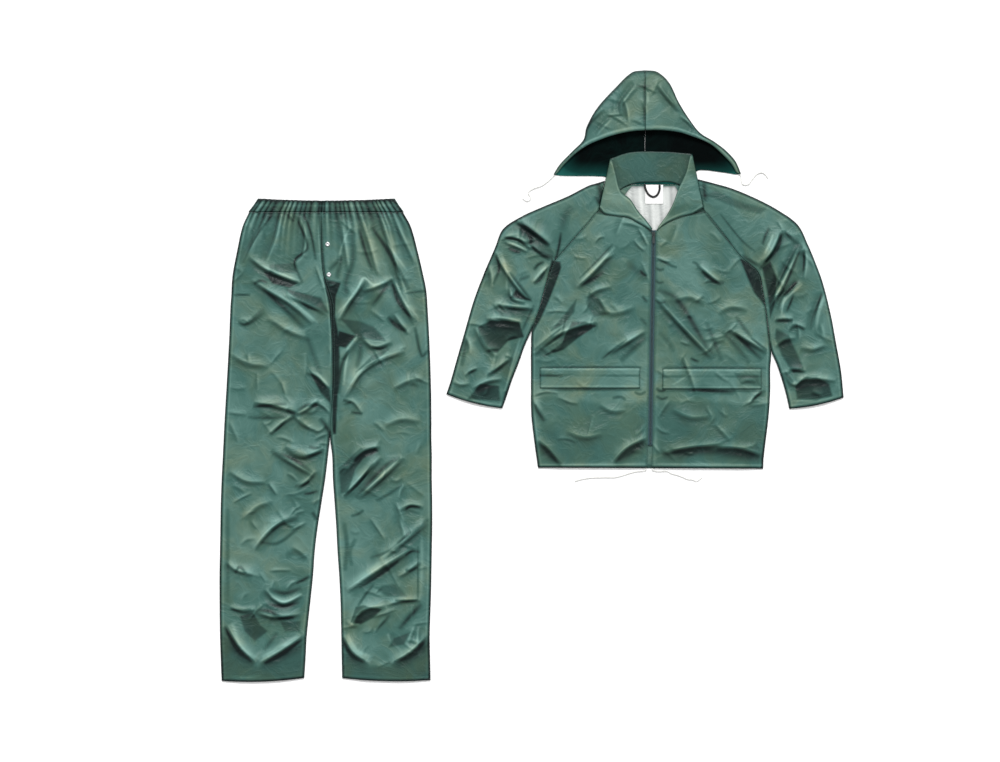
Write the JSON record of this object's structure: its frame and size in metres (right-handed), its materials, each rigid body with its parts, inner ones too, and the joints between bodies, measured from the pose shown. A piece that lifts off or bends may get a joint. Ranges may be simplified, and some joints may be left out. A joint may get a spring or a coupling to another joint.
{
  "type": "rain suit laid out flat",
  "caption": "Hooded zip-front rain jacket and elastic-waist rain trousers of coated nylon, laid out flat side by side.",
  "frame": {"origin": "on the surface that the suit lies on, under the centre of the bounding box of trousers and jacket together", "axes": "+Z up off the surface; +Y from the hems towards the waist and the hood; +X to the right in the picture, from the trousers to the jacket. Left and right in the node names are as seen from above with +Y up."},
  "size_m": [1.497, 1.4673, 0.021],
  "materials": {
    "coated_nylon": "semi-gloss coated nylon, grey-green",
    "lining": "pale grey woven lining",
    "label": "blank white woven label",
    "black_tape": "black twill tape",
    "zip_tape": "slate woven zip tape",
    "zip_coil": "slate nylon zip teeth",
    "zip_metal": "dark enamelled metal",
    "snap_metal": "bright nickel plate",
    "cord": "white twisted cord"
  },
  "bodies": {
    "suit": {"trouser_back_left": "coated_nylon", "trouser_back_right": "coated_nylon", "trouser_front_left": "coated_nylon", "trouser_front_right": "coated_nylon", "waistband": "coated_nylon", "fly_snap_upper": "snap_metal", "fly_snap_lower": "snap_metal", "jacket_back": "coated_nylon", "jacket_front_left": "coated_nylon", "jacket_front_right": "coated_nylon", "sleeve_back_left": "coated_nylon", "sleeve_back_right": "coated_nylon", "sleeve_front_left": "coated_nylon", "sleeve_front_right": "coated_nylon", "pocket_flap_left": "coated_nylon", "pocket_flap_right": "coated_nylon", "collar": "coated_nylon", "hood_left": "coated_nylon", "hood_right": "coated_nylon", "neck_lining": "lining", "neck_label": "label", "hanger_loop": "black_tape", "zip_tape": "zip_tape", "zip_chain": "zip_coil", "zip_slider": "zip_metal", "hood_cord_left": "cord", "hood_cord_right": "cord", "hem_cord_left": "cord", "hem_cord_right": "cord"},
    "pull_tab": {"zip_pull_tab": "zip_metal"}
  },
  "joints": [
    {"name": "pull_tab_hinge", "type": "hinge", "parent": "suit", "child": "pull_tab", "pos_m": [0.29231, 0.3405, 0.0083], "axis": [-1, 0, 0], "range_deg": [0, 150]}
  ]
}
